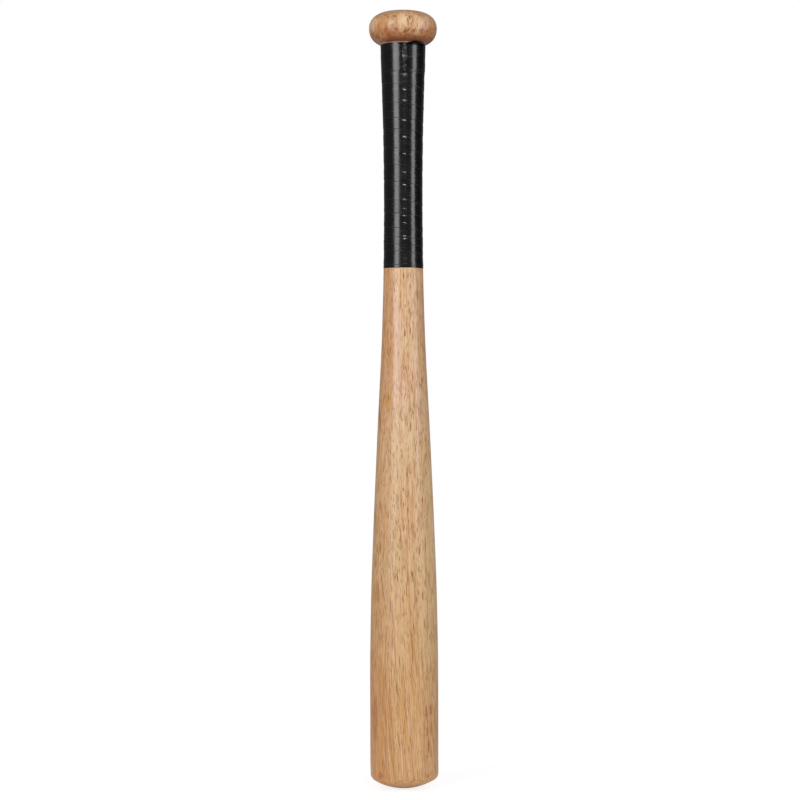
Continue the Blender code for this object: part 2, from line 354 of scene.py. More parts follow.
def makeWoundTape(material):
    # A flat tube on a helix: its radius is the handle's plus a layer for every turn underneath
    start = -winding["lead"]
    stop = lastTurn + winding["cutLow"]
    turn = np.linspace(start, stop, round((stop - start) * winding["sections"]))
    roof = flareTop - winding["roof"]
    reach = np.minimum(winding["width"], roof - lowerEdge(turn))
    place = acrossPlaces(turn, reach)
    # The cut: towards its end the strip is sheared along itself, more at its upper edge
    slant = winding["cutLow"] - winding["cutHigh"]
    slant = slant * softStep(stop - winding["shearRun"], stop, turn)[:, None]
    turns = turn[:, None] - slant * place / winding["width"]
    height = lowerEdge(turns) + place
    layers = layersUnder(turns, height)
    along = turns * 2 * math.pi * flareRadius
    # The last of the strip is pressed flat, and both edges curl down, but for the one under the knob
    pressed = softStep(stop - winding["pressRun"], stop, turn)[:, None]
    pressed = 1 - (1 - winding["endThickness"]) * pressed
    underKnob = reach[:, None] < winding["width"]
    edgeGap = np.where(underKnob, place, np.minimum(place, reach[:, None] - place))
    curl = winding["curlDepth"] * winding["thickness"] * pressed
    curl = curl * np.clip(1 - edgeGap / winding["curl"], 0.0, 1.0) ** 2
    # The fold: the top edge of the last turn climbs the knob's underside just before the cut
    before = lastTurn + winding["cutHigh"] - turns
    fold = softStep(0.0, winding["foldRise"], before)
    fold = fold * np.clip(1 - (before - winding["foldRise"]) / winding["foldRun"], 0.0, 1.0)
    climbing = np.clip((height - roof + winding["foldBand"]) / winding["foldBand"], 0.0, 1.0)
    height = height + winding["fold"] * fold * climbing
    outer = handleRadius(height) + winding["layer"] * (layers + pressed)
    outer = outer + winding["ripple"] * waves(winding["ripples"], along, place) - curl
    onKnob = knobUnderside(height + winding["foldDrop"] * fold) + winding["knobGap"] * winding["thickness"]
    outer = np.maximum(outer, onKnob)
    inner = outer - (winding["thickness"] * pressed - curl)
    angle = -math.pi / 2 - 2 * math.pi * turns

    def bothSides(outside, inside):
        return np.concatenate([outside, inside[:, ::-1]], axis=1)

    points = onCircle(bothSides(outer, inner), bothSides(angle, angle), bothSides(height, height))
    rows, columns = points.shape[:2]
    k = np.arange(columns // 2 - 1)
    startCap = np.stack([k, k + 1, columns - 2 - k, columns - 1 - k], axis=-1)
    endCap = startCap[:, ::-1] + (rows - 1) * columns
    faces = np.concatenate([ringQuads(rows, columns), startCap, endCap]).tolist()
    piece = addPiece("wound_grip_tape", points.reshape(-1, 3), faces, material, "grip_tape")
    # UV: distance along the strip and place across it, both in metres
    uv = np.stack([bothSides(along, along).ravel(), bothSides(place, place).ravel()], axis=-1)
    corner = np.empty(len(piece.data.loops), dtype=np.int32)
    piece.data.loops.foreach_get("vertex_index", corner)
    layer = piece.data.uv_layers.new(name="alongStrip")
    layer.data.foreach_set("uv", uv[corner].astype(np.float32).ravel())


# Shader building

def isOutput(value):
    return isinstance(value, bpy.types.NodeSocket)


def addNode(kind, inputs=None, tree=None, **settings):
    # Where no tree is given, the node goes into the one that its linked inputs come from
    inputs = inputs or {}
    tree = tree or next(value.id_data for value in inputs.values() if isOutput(value))
    node = tree.nodes.new(kind)
    for key, value in settings.items():
        setattr(node, key, value)
    setInputs(node, inputs)
    return node


def setInputs(node, values):
    # An output is linked, and anything else becomes the input's own value
    for key, value in values.items():
        if isOutput(value):
            node.id_data.links.new(value, node.inputs[key])
        else:
            node.inputs[key].default_value = value


def calc(operation, a, b=0.0, c=0.0):
    return addNode("ShaderNodeMath", {0: a, 1: b, 2: c}, operation=operation).outputs[0]


def times(first, *others):
    for other in others:
        first = calc("MULTIPLY", first, other)
    return first


def addTo(base, value, amount):
    # base + value * amount
    return calc("MULTIPLY_ADD", value, amount, base)


def fade(mask, outside, inside):
    # outside where the mask is 0, inside where it is 1
    return calc("MULTIPLY_ADD", mask, inside - outside, outside)


def ease(value, low, high, toLow=0.0, toHigh=1.0):
    inputs = {"Value": value, "From Min": low, "From Max": high, "To Min": toLow, "To Max": toHigh}
    return addNode("ShaderNodeMapRange", inputs, interpolation_type="SMOOTHSTEP").outputs["Result"]


def blend(share, first, second, kind="MIX"):
    # A colour mix: sockets 6 and 7 are its two colours, and 2 is the result
    node = addNode("ShaderNodeMix", {0: share, 6: first, 7: second}, data_type="RGBA", blend_type=kind)
    return node.outputs[2]


def vectorCalc(operation, a, b=(0.0, 0.0, 0.0)):
    node = addNode("ShaderNodeVectorMath", {0: a, 1: b}, operation=operation)
    return node.outputs["Value" if operation in ("LENGTH", "DISTANCE") else "Vector"]


def vectorOf(x, y, z):
    return addNode("ShaderNodeCombineXYZ", {0: x, 1: y, 2: z}).outputs[0]


def split(vector, axes="XYZ"):
    outputs = addNode("ShaderNodeSeparateXYZ", {0: vector}).outputs
    return [outputs[axis] for axis in axes]


def placeInMm(tree):
    place = addNode("ShaderNodeTexCoord", tree=tree).outputs["Object"]
    return vectorCalc("MULTIPLY", place, (1000.0, 1000.0, 1000.0))


def noise(vector, waves, detail=2.0, roughness=0.5, output="Fac"):
    # Waves a unit: one number, or one for each direction
    if isinstance(waves, tuple):
        vector, waves = vectorCalc("MULTIPLY", vector, waves), 1.0
    inputs = {"Vector": vector, "Scale": waves, "Detail": detail, "Roughness": roughness}
    return addNode("ShaderNodeTexNoise", inputs).outputs[output]


def pushed(place, waves, reach):
    # A place moved about by the colour of a noise, by half of reach each way
    push = vectorCalc("SUBTRACT", noise(place, waves, output="Color"), (0.5, 0.5, 0.5))
    return vectorCalc("ADD", place, vectorCalc("MULTIPLY", push, reach))


vectorSockets = ("Place", "Grain", "Knot Place", "Pith")


def newGroup(name, inputs, outputs):
    # A group with these named sockets: numbers, but for the vectors listed above
    tree = bpy.data.node_groups.new(name, "ShaderNodeTree")
    for direction, labels in (("INPUT", inputs), ("OUTPUT", outputs)):
        for label in labels:
            kind = "NodeSocketVector" if label in vectorSockets else "NodeSocketFloat"
            tree.interface.new_socket(name=label, in_out=direction, socket_type=kind)
    entry = tree.nodes.new("NodeGroupInput").outputs
    return tree, entry, tree.nodes.new("NodeGroupOutput")


def useGroup(group, *values):
    # The values go to the group's inputs in their order
    return addNode("ShaderNodeGroup", dict(enumerate(values)), node_tree=group).outputs


def newMaterial(name):
    material = bpy.data.materials.new(name)
    material.use_nodes = True
    tree = material.node_tree
    return material, tree, tree.nodes["Principled BSDF"]


def srgb(red, green, blue):
    # The linear colour of a screen colour from 0 to 255
    values = [channel / 255 for channel in (red, green, blue)]
    linear = [v / 12.92 if v <= 0.04045 else ((v + 0.055) / 1.055) ** 2.4 for v in values]
    return (*linear, 1.0)


handling = {
    "smudgeNoise": (4.0, 0.6),  # detail and roughness
    "smudges": (0.35, 0.75),  # where in the noise they begin and are full
    "bends": 0.6,  # waves in a scratch's cell of the noise that bends it
    "bendBy": (14.0, 14.0, 14.0),  # mm
    "scratches": (0.012, 0.002),  # how near a cell's edge, in cells, they begin and are full
}


def makeHandling():
    # Marks of use: cloudy smudges, and hair scratches that keep to no direction
    tree, entry, out = newGroup(
        "handlingMarks", ("Place", "Smudge Size", "Scratch Size"), ("Smudge", "Scratch"))
    place = entry["Place"]
    smudge = noise(place, calc("DIVIDE", 1.0, entry["Smudge Size"]), *handling["smudgeNoise"])
    push = noise(place, calc("DIVIDE", handling["bends"], entry["Scratch Size"]), output="Color")
    bent = vectorCalc("ADD", place, vectorCalc("MULTIPLY", push, handling["bendBy"]))
    inputs = {"Vector": bent, "Scale": calc("DIVIDE", 1.0, entry["Scratch Size"])}
    cells = addNode("ShaderNodeTexVoronoi", inputs, feature="DISTANCE_TO_EDGE")
    setInputs(out, {
        "Smudge": ease(smudge, *handling["smudges"]),
        "Scratch": ease(cells.outputs["Distance"], *handling["scratches"])})
    return tree


handlingMarks = makeHandling()


# Wood finish

wood = {
    "pale": srgb(214, 183, 152),
    "honey": srgb(207, 163, 109),
    "khaki": srgb(209, 178, 134),
    "rose": srgb(216, 177, 155),
    "orange": srgb(188, 127, 74),
    "brown": srgb(156, 104, 62),
    "pore": srgb(114, 62, 22),
    "ochre": srgb(196, 144, 78),
    "russet": srgb(155, 86, 42),
    "umber": srgb(112, 60, 32),
    "cream": srgb(226, 198, 167),
    "straw": srgb(220, 187, 138),
    "paintedEndLight": (1.16, 1.14, 1.06, 1.0),  # how much paler the rounded end is painted: painted light where the end faces down
    # The grain's slope at the barrel end, the height in mm above which it runs straight, and how far a slow
    # noise moves it about
    "bend": (0.09, 300.0, 2.4),
    "knotPlace": (-13.2, -16.0, 328.5),
    "pith": (-95.0, 12.0, 0.0),  # mm from the bat's axis, so the front shows straight grain
    "ringWidth": 4.6,
    # The redder sides, whose edges are broken by streaks: their width, length and seed, and how far in mm
    "edgeStreak": (5.0, 90.0, 9.0),
    "edgeReach": 7.0,
    "heartSide": -14.2,  # mm at the barrel end; the wood left of this is redder
    "heartClimb": 0.0130,  # and how the line moves inward with height
    "heartEdge": (3.4, -3.4),
    "rightEdge": (11.5, 14.5),
    "right": (0.45, 0.15),  # how strong it is below the knob and on it
    # Width across the grain and length along it in mm, seed, where in the noise it begins and is full, share
    "streaks": {
        "honey": (7.0, 200.0, 3.0, 0.38, 0.66, 0.35),
        "bands": (4.6, 60.0, 57.0, 0.44, 0.60, 0.30),
        "khaki": (3.6, 75.0, 37.0, 0.48, 0.60, 0.60),
        "rose": (2.8, 90.0, 43.0, 0.50, 0.62, 0.50),
        "orange": (2.6, 60.0, 11.0, 0.46, 0.74, 0.50),
        "fine": (0.8, 16.0, 23.0, 0.48, 0.74, 0.75),
        "darkLines": (0.9, 130.0, 29.0, 0.52, 0.70, 0.60),
        "paleLines": (0.9, 110.0, 67.0, 0.52, 0.70, 0.50),
        "cream": (1.5, 34.0, 31.0, 0.50, 0.74, 0.50),
        "mottle": (2.2, 4.5, 71.0, 0.46, 0.64, 1.0),
        "poreShade": (5.0, 45.0, 83.0, 0.40, 0.60, 1.0),
    },
    # Width and length of the cells in mm, size of the pore in its cell, share of cells that hold one, seed
    "pores": {
        "small": (0.85, 9.0, 0.33, 0.82, 41.0),
        "coarse": (1.5, 13.0, 0.32, 0.62, 5.0),
        "long": (1.7, 30.0, 0.26, 0.60, 19.0),
        "dots": (1.25, 2.6, 0.50, 0.90, 61.0),
    },
    "markWaves": 0.35,  # waves a mm of the noise that bends the single marks
    "markBend": (1.6, 0.0, 3.0),  # mm
    # Two heights in mm, and the shares there (0 and 1 where none are given)
    "heights": {
        "towardsBarrel": (330.0, 60.0),
        "knob": (631.4, 632.1),
        "heartAbove": (260.0, 345.0, 0.30, 0.62),
        "heartBelow": (160.0, 50.0, 0.26, 0.66),
        "right": (325.0, 365.0),
        "left": (300.0, 220.0, 0.0, 0.20),
        "sunnyTop": (345.0, 270.0),
        "sunnyFoot": (70.0, 150.0),
        "even": (90.0, 300.0, 0.45, 1.0),
        "rose": (270.0, 350.0, 0.55, 1.0),
        "lower": (230.0, 90.0),
        "longPores": (330.0, 200.0),
        # painted shade under the knob: russet below its widest ring, umber deeper in
        "under": (644.0, 635.0, 0.0, 0.75),
        "deepUnder": (638.0, 633.5, 0.0, 0.60),
        # painted highlight: a pale ring on the wood just above the tape
        "neckHighlight": (632.8, 632.0, 0.0, 0.42),
        "mottle": (650.0, 639.0, 0.20, 0.70),
        "lastBrown": (55.0, 14.0, 0.0, 0.13),
        # painted light: below these heights the rounded end is painted paler
        "paintedEndLight": (11.5, 8.5),
    },
    # The same from left to right
    "sides": {
        "left": (-17.0, -23.0),
        "sunny": (9.0, 22.0, 0.42, 0.95),
        "under": (-22.0, -9.0, 0.50, 1.0),
        "deepUnder": (-20.0, -9.0),
    },
    # How much of each still shows on the knob
    "onKnob": {"heart": 0.35, "even": 0.30, "fine": 0.25, "pores": 0.65},
    "inHeart": {"even": 0.3, "pores": 0.2},  # in the redder wood; its pores only low on the barrel
    "lowPores": 0.55,  # towards the barrel end
    "creamAround": 0.2,  # and of the cream streaks where khaki and rose don't show
    # How strong single layers are
    "knobHoney": 0.45,
    "knobBrown": 0.12,
    "knobDots": 0.50,
    "rings": 0.22,
    "knot": 0.75,
    # The lacquer
    "roughness": 0.42,
    "smudged": 0.08,  # what smudges add to it
    "rubbedPlace": (2.5, -28.0, 651.5),
    "rubbedReach": (9.0, 4.0, 1.0, 0.25),  # two distances from there, and the lacquer left at each
    "coat": 0.26,
    "knobCoat": 0.40,  # thicker where it gathered on the knob
    "coatRoughness": 0.19,
    "specular": 0.15,
    "handling": (24.0, 17.0),  # mm, how large smudges and scratches are
    "depths": {"small": -0.3, "coarse": -0.8, "scratch": -0.08},
    "bump": {"Strength": 0.35, "Distance": 0.0001},
}

# Marks on the front, most of them in the wood and a few painted light or shade as noted: across and up in mm,
# half width, half length, strength, colour, and the lean of those that lean
grainAndPaintedLightMarks = (
    (0, 434.9, 0.4, 2.6, 0.75, "pore"),
    (3, 434, 0.4, 2.2, 0.6, "pore"),
    (6.2, 434.6, 0.4, 2.6, 0.7, "pore"),
    (11.7, 418.5, 0.45, 4.6, 0.8, "pore"),
    (-2.4, 410, 0.55, 4.5, 0.6, "russet", 0.02),
    (6, 400.5, 0.5, 6, 0.6, "russet"),
    (5.9, 388, 0.6, 3.6, 0.8, "russet"),
    (3.9, 412, 0.38, 2.6, 0.6, "pore"),
    (-12.9, 378.6, 0.45, 2.6, 0.55, "brown"),
    (-1.7, 349.5, 0.42, 11, 0.7, "brown"),
    (1.8, 357.2, 0.55, 1.3, 0.8, "pore"),
    (-3.9, 339.8, 0.6, 3, 0.65, "russet", 0.1),
    (6.9, 339.5, 0.5, 5, 0.75, "russet", 0.06),
    (14.8, 342, 0.6, 1.6, 0.65, "russet"),
    (13.9, 321, 0.6, 9.5, 0.5, "brown"),
    (-20.3, 314.5, 0.9, 12, 0.5, "russet", 0.05),
    (3.9, 287.8, 0.6, 3, 0.6, "ochre"),
    (18.2, 281, 0.5, 3.4, 0.6, "pore"),
    (3.4, 265, 0.42, 8.5, 0.65, "brown"),
    (12.3, 261, 0.5, 3.6, 0.6, "russet"),
    (-0.2, 254.3, 0.4, 2.2, 0.7, "pore"),
    (3.9, 251.8, 0.45, 2.4, 0.65, "pore"),
    (-19.9, 240.3, 1.2, 4.5, 0.5, "russet"),
    (3.4, 237.5, 0.9, 2.6, 0.55, "brown", 0.2),
    (-2.5, 214, 0.5, 13, 0.6, "brown", 0.14),
    (12, 227.8, 0.5, 3.6, 0.6, "russet", 0.1),
    (12.8, 202.8, 0.5, 3.6, 0.6, "pore", 0.1),
    (-20, 203.6, 0.7, 4, 0.5, "russet"),
    (-9.8, 191.5, 0.45, 10, 0.65, "brown", 0.08),
    (6.7, 181.8, 0.5, 5.4, 0.8, "pore", 0.12),
    (15.8, 164.6, 0.6, 3.6, 0.65, "russet", 0.1),
    (-22.6, 168.6, 1.5, 9, 0.45, "russet"),
    # Painted highlight: a pale rose band where the left strip lamp's reflection runs down the handle
    (-5.2, 366, 3.4, 54, 0.38, "rose"),
    (-17.5, 232, 5, 46, 0.12, "orange", 0.03),
    # a paler band along the right edge of the taper
    (23, 247, 4.2, 64, 0.2, "cream"),
    (-4.8, 45, 0.35, 6.8, 0.75, "pore", 0.1),
    (-11.4, 41.5, 0.45, 13, 0.6, "brown", 0.1),
    (-16, 50, 0.8, 42, 0.18, "cream", 0.17),
    (-2.3, 28.5, 0.45, 15, 0.5, "cream", 0.05),
    # Painted shade: a broad darker band down the barrel's right edge
    (27, 38, 2.6, 34, 0.3, "brown"),
    (13.4, 46, 3.2, 30, 0.28, "straw"),
    (-21, 40, 3, 18, 0.3, "honey"),
    (18.4, 67, 0.9, 6, 0.8, "brown"),
    (22.3, 68.5, 0.8, 5, 0.9, "brown", 0.08),
    (19.6, 50.5, 0.9, 5, 0.8, "brown"),
    (22.6, 52, 0.7, 6, 0.75, "brown"),
    (20.4, 38.5, 1, 7.5, 0.85, "brown"),
    (22.4, 32.5, 0.7, 5, 0.75, "brown"),
    (19.7, 29, 0.8, 1.4, 0.5, "umber"),
    (-12.6, 11.5, 0.5, 3.6, 0.6, "brown", 0.1),
    (-24.6, 62, 2.2, 20, 0.4, "russet"),
    (-20.4, 20, 1.8, 5, 0.45, "ochre"),
    (-20, 13.4, 2.4, 3, 0.5, "russet"),
    (19.6, 13, 0.8, 2, 0.55, "russet"),
    (22, 9.5, 0.6, 1.6, 0.55, "russet"),
    (-19, 646.2, 8, 9, 0.3, "orange"),
    (-1.1, 648.8, 4.6, 7, 0.42, "khaki"),
    (1.6, 650, 3.6, 6, 0.3, "cream"),
    (-25.6, 648.6, 4.2, 6.2, 0.36, "cream"),
    (22, 641.5, 6.5, 6.5, 0.3, "orange"),
    (-11.6, 641.8, 3.4, 3.6, 0.3, "russet"),
    (13.2, 647.3, 5.6, 6, 0.26, "cream"),
    # Painted light: a pale rose patch on the knob's right, where the right strip lamp falls on it
    (19.6, 647.4, 3.2, 6.4, 0.5, "rose"),
    (12.4, 638.6, 2.6, 2.2, 0.35, "straw"),
    (-13.6, 639.4, 3.8, 3.2, 0.5, "russet"),
    (-8.3, 640.2, 3, 2.6, 0.45, "russet"),
    (-20.6, 643.6, 0.9, 4.6, 0.65, "brown"),
    (-23.6, 646.4, 0.6, 4, 0.4, "brown"),
    (-14.3, 642.4, 0.7, 4.4, 0.6, "russet"),
    (12.2, 644.6, 0.55, 2.6, 0.6, "umber", 0.05),
    (16.4, 641.2, 0.6, 1.6, 0.6, "umber"),
    (24.2, 636.2, 0.9, 1.2, 0.65, "umber"),
    (-5.1, 646.8, 0.55, 5, 0.5, "brown"),
    (-14.1, 654.3, 2.4, 0.9, 0.65, "russet"),
    (-12.6, 652, 1, 0.9, 0.65, "umber"),
    (-7, 652.2, 1.8, 1, 0.6, "umber"),
    (-6.3, 641.1, 1.3, 1.1, 0.6, "umber"),
    (4.3, 647.3, 0.8, 3.6, 0.75, "umber", 0.05),
    (8.3, 648.9, 0.7, 3, 0.55, "umber", -0.1),
    (5.7, 651.1, 0.8, 1.6, 0.85, "umber"),
    (2.9, 652.9, 0.9, 0.8, 0.7, "umber"),
    (6.9, 645.4, 0.8, 1.1, 0.75, "umber"),
    (4.8, 640.9, 1.2, 1.2, 0.55, "umber"),
    (2.3, 638.9, 1.1, 1.2, 0.5, "umber"),
    (8.9, 639.9, 0.9, 1.2, 0.7, "umber"),
    (13.9, 654.2, 2, 0.8, 0.45, "russet"),
    (14.4, 640.9, 1.6, 1.2, 0.6, "umber"),
    (18.8, 646.7, 0.8, 3.4, 0.5, "brown"),
    (20.1, 640.7, 0.8, 1.2, 0.6, "umber"),
    (23.7, 641.2, 2.8, 4, 0.45, "russet"),
)

# How the groups below draw the grain, the pores and the marks
figure = {
    "drift": (0.030, 0.030, 0.011),  # waves a mm of the slow noise that moves the grain
    "knotPush": (14.0, 1.0, 0.0, 0.55),  # mm from a knot, and by what share it parts the grain there
    "knotEdge": (6.0, 1.0),
    "wobble": ((0.11, 0.11, 0.012), 3.0, 0.55),  # waves a mm, detail and roughness of the rings' own noise
    "wobbleRings": 2.4,  # it moves them by up to this many rings
    "ringDarkens": (0.05, 0.92),  # between these shares of its width
    "ringEnds": (1.0, 0.93),
    "streakRoughness": 0.55,
    "poreWaves": (0.5, 0.5, 0.2),  # waves a mm of the noise that bends the rows of pores
    "poreBend": (1.2, 1.2, 0.0),  # mm
    "poreSizes": (0.6, 1.4),  # least and most
    "poreTones": (0.4, 1.0),
    "poreEdge": (1.0, 0.4),  # shares of its size between which a pore fades in
    "markEdge": (1.3, 0.5),  # and a mark
}


def makeGrainSpace():
    # Bends the wood's own space: grain leans towards the barrel end, wanders, and parts round a knot
    tree, entry, out = newGroup(
        "grainSpace", ("Place", "Lean", "Lean Top", "Wander", "Knot Place"), ("Grain", "Knot"))
    place = entry["Place"]
    x, y, z = split(place)
    # The lean grows evenly with depth below its top, so the shift grows with the square of it
    below = calc("MAXIMUM", calc("SUBTRACT", entry["Lean Top"], z), 0.0)
    shift = calc("DIVIDE", times(below, below), times(entry["Lean Top"], 2.0))
    shift = times(shift, entry["Lean"])
    driftX, driftY = split(noise(place, figure["drift"], output="Color"), "XY")
    # Knot: a soft ball, twice as tall as wide, that pushes the grain to both sides
    fromKnot = vectorCalc("SUBTRACT", place, entry["Knot Place"])
    away = vectorCalc("LENGTH", vectorCalc("MULTIPLY", fromKnot, (1.0, 1.0, 0.5)))
    push = times(*split(fromKnot, "X"), ease(away, *figure["knotPush"]))
    outX = calc("SUBTRACT", calc("SUBTRACT", x, shift), push)
    outX = addTo(outX, calc("SUBTRACT", driftX, 0.5), entry["Wander"])
    outY = addTo(y, calc("SUBTRACT", driftY, 0.5), entry["Wander"])
    setInputs(out, {"Grain": vectorOf(outX, outY, z), "Knot": ease(away, *figure["knotEdge"])})
    return tree


def makeGrowthRings():
    # Distance from the pith, cut into rings that darken slowly outward and end sharply
    tree, entry, out = newGroup("growthRings", ("Grain", "Pith", "Ring Width"), ("Ring",))
    flat = vectorCalc("SUBTRACT", entry["Grain"], entry["Pith"])
    away = vectorCalc("LENGTH", vectorCalc("MULTIPLY", flat, (1.0, 1.0, 0.0)))
    wobble = noise(entry["Grain"], *figure["wobble"])
    rings = addTo(calc("DIVIDE", away, entry["Ring Width"]), wobble, figure["wobbleRings"])
    part = calc("FRACT", rings)
    setInputs(out, {"Ring": times(ease(part, *figure["ringDarkens"]), ease(part, *figure["ringEnds"]))})
    return tree


def drawnOut(grain, width, length, seed):
    # The grain's space measured in widths across and lengths along, moved to its own part of the pattern
    drawn = vectorCalc("DIVIDE", grain, vectorOf(width, width, length))
    return vectorCalc("ADD", drawn, seed)


def makeStreaks():
    # Noise drawn out along the grain; Width is across it and Length along it, in mm
    tree, entry, out = newGroup("grainStreaks", ("Grain", "Width", "Length", "Seed"), ("Streak",))
    drawn = drawnOut(entry["Grain"], entry["Width"], entry["Length"], entry["Seed"])
    setInputs(out, {"Streak": noise(drawn, 1.0, roughness=figure["streakRoughness"])})
    return tree


def makePores():
    # Long cells, one open pore in each: a thin spindle round the cell's point, darker in some than in others
    tree, entry, out = newGroup(
        "openPores", ("Grain", "Spacing", "Length", "Size", "Share", "Seed"), ("Pore",))
    bent = pushed(entry["Grain"], figure["poreWaves"], figure["poreBend"])
    drawn = drawnOut(bent, entry["Spacing"], entry["Length"], entry["Seed"])
    cells = addNode("ShaderNodeTexVoronoi", {"Vector": drawn, "Scale": 1.0})
    # Each cell's colour gives three chances: whether it has a pore, and the pore's size and darkness
    pick, size, tone = split(cells.outputs["Color"])
    reach = times(entry["Size"], fade(size, *figure["poreSizes"]))
    spindle = ease(calc("DIVIDE", cells.outputs["Distance"], reach), *figure["poreEdge"])
    shown = calc("LESS_THAN", pick, entry["Share"])
    setInputs(out, {"Pore": times(spindle, shown, fade(tone, *figure["poreTones"]))})
    return tree


def makeFrontMark():
    # One mark on the front: a soft-edged spindle, given by its middle, its half sizes and its lean
    tree, entry, out = newGroup(
        "frontMark", ("Place", "Across", "Up", "Half Width", "Half Length", "Lean"), ("Mark",))
    x, y, z = split(entry["Place"])
    up = calc("SUBTRACT", z, entry["Up"])
    across = addTo(calc("SUBTRACT", x, entry["Across"]), up, entry["Lean"])
    across = calc("DIVIDE", across, entry["Half Width"])
    up = calc("DIVIDE", up, entry["Half Length"])
    away = vectorCalc("LENGTH", vectorOf(across, up, 0.0))
    front = calc("LESS_THAN", y, 0.0)
    setInputs(out, {"Mark": times(ease(away, *figure["markEdge"]), front)})
    return tree


def makeLacqueredWood():
    material, tree, shader = newMaterial("lacqueredWood")
    place = placeInMm(tree)
    x, z = split(place, "XZ")
    zone = {name: ease(z, *row) for name, row in wood["heights"].items()}
    side = {name: ease(x, *row) for name, row in wood["sides"].items()}
    inHeart = wood["inHeart"]
    knob, lower = zone["knob"], zone["lower"]
    onKnob = {name: fade(knob, 1.0, share) for name, share in wood["onKnob"].items()}
    space = useGroup(makeGrainSpace(), place, *wood["bend"], wood["knotPlace"])
    grain = space["Grain"]
    ring = useGroup(makeGrowthRings(), grain, wood["pith"], wood["ringWidth"])["Ring"]
    streaks = makeStreaks()
    pores = makePores()
    mark = makeFrontMark()

    def streak(name):
        width, length, seed, low, high, share = wood["streaks"][name]
        return ease(useGroup(streaks, grain, width, length, seed)["Streak"], low, high, 0.0, share)

    def pore(name):
        return useGroup(pores, grain, *wood["pores"][name])["Pore"]

    # Redder wood left of a line that climbs inward, and by the right edge; both edges run with the grain
    edge = calc("SUBTRACT", useGroup(streaks, grain, *wood["edgeStreak"])["Streak"], 0.5)
    edge = addTo(x, edge, wood["edgeReach"])
    line = calc("MULTIPLY_ADD", z, wood["heartClimb"], wood["heartSide"])
    heart = ease(calc("SUBTRACT", edge, line), *wood["heartEdge"])
    heart = times(heart, calc("MAXIMUM", zone["heartAbove"], zone["heartBelow"]), onKnob["heart"])
    right = times(ease(edge, *wood["rightEdge"]), zone["right"], fade(knob, *wood["right"]))
    even = times(fade(heart, 1.0, inHeart["even"]), onKnob["even"], zone["even"])
    layers = (
        # Tone: paler by the grip, honey at the barrel, redder at the sides, browner in the knob
        (zone["towardsBarrel"], "honey"),
        (streak("honey"), "honey"),
        (heart, "orange"),
        (right, "orange"),
        (times(knob, wood["knobHoney"]), "honey"),
        (times(knob, wood["knobBrown"]), "brown"),
        (times(zone["sunnyTop"], zone["sunnyFoot"], side["sunny"]), "straw"),
        (times(side["left"], zone["left"]), "orange"),
        (times(knob, streak("bands")), "brown"),
        # Grain: rings, then streaks from broad to fine
        (times(ring, wood["rings"]), "orange"),
        (times(streak("khaki"), even), "khaki"),
        (times(streak("rose"), even, zone["rose"]), "rose"),
        (streak("orange"), "orange"),
        (times(streak("fine"), onKnob["fine"]), "brown"),
        # Towards the barrel end the grain is cut long: thin lines, dark and pale
        (times(streak("darkLines"), lower), "brown"),
        (times(streak("paleLines"), lower), "cream"),
        (times(streak("cream"), fade(even, wood["creamAround"], 1.0)), "cream"),
        # Painted shade: the knob is painted darker underneath, russet and umber deepest in the middle; a pale
        # ring by the tape is a painted highlight
        (times(knob, zone["under"], side["under"]), "russet"),
        (times(knob, zone["deepUnder"], side["deepUnder"]), "umber"),
        (times(knob, zone["neckHighlight"]), "cream"),
        (times(space["Knot"], wood["knot"]), "ochre"),
        (times(streak("mottle"), knob, zone["mottle"]), "umber"),
    )
    colour = wood["pale"]
    for share, name in layers:
        colour = blend(share, colour, wood[name])
    # Pores: fewer to see towards the barrel end, least on the redder side there
    small = pore("small")
    coarse = pore("coarse")
    plain = fade(times(lower, heart), 1.0, inHeart["pores"])
    shown = times(fade(lower, 1.0, wood["lowPores"]), plain, onKnob["pores"])
    poreShade = blend(streak("poreShade"), wood["russet"], wood["pore"])
    longPores = times(pore("long"), zone["longPores"], plain)
    for spots in (times(small, shown), times(coarse, shown), longPores):
        colour = blend(spots, colour, poreShade)
    colour = blend(times(pore("dots"), knob, wood["knobDots"]), colour, wood["umber"])
    # The last of the barrel is a little browner, and its rounded end is painted paler: painted light where it
    # faces down
    colour = blend(zone["lastBrown"], colour, wood["brown"])
    colour = blend(zone["paintedEndLight"], colour, wood["paintedEndLight"], "MULTIPLY")
    # Single marks, a little bent so that none is a clean spindle
    bent = pushed(place, wood["markWaves"], wood["markBend"])
    for across, up, halfWidth, halfLength, strength, name, *lean in grainAndPaintedLightMarks:
        # Where no lean is given, its sum is 0
        spot = useGroup(mark, bent, across, up, halfWidth, halfLength, sum(lean))["Mark"]
        colour = blend(times(spot, strength), colour, wood[name])
    marks = useGroup(handlingMarks, place, *wood["handling"])
    depths = wood["depths"]
    relief = addTo(times(coarse, depths["coarse"]), small, depths["small"])
    relief = addTo(relief, marks["Scratch"], depths["scratch"])
    bump = addNode("ShaderNodeBump", {"Height": relief, **wood["bump"]})
    # The palm has rubbed the lacquer thin in the middle of the knob's front
    rubbed = ease(vectorCalc("DISTANCE", place, wood["rubbedPlace"]), *wood["rubbedReach"])
    setInputs(shader, {
        "Base Color": colour,
        "Roughness": addTo(wood["roughness"], marks["Smudge"], wood["smudged"]),
        "Normal": bump.outputs[0],
        "Specular IOR Level": wood["specular"],
        "Coat Weight": times(rubbed, fade(knob, wood["coat"], wood["knobCoat"])),
        "Coat Roughness": wood["coatRoughness"]})
    return material


# Tape finish

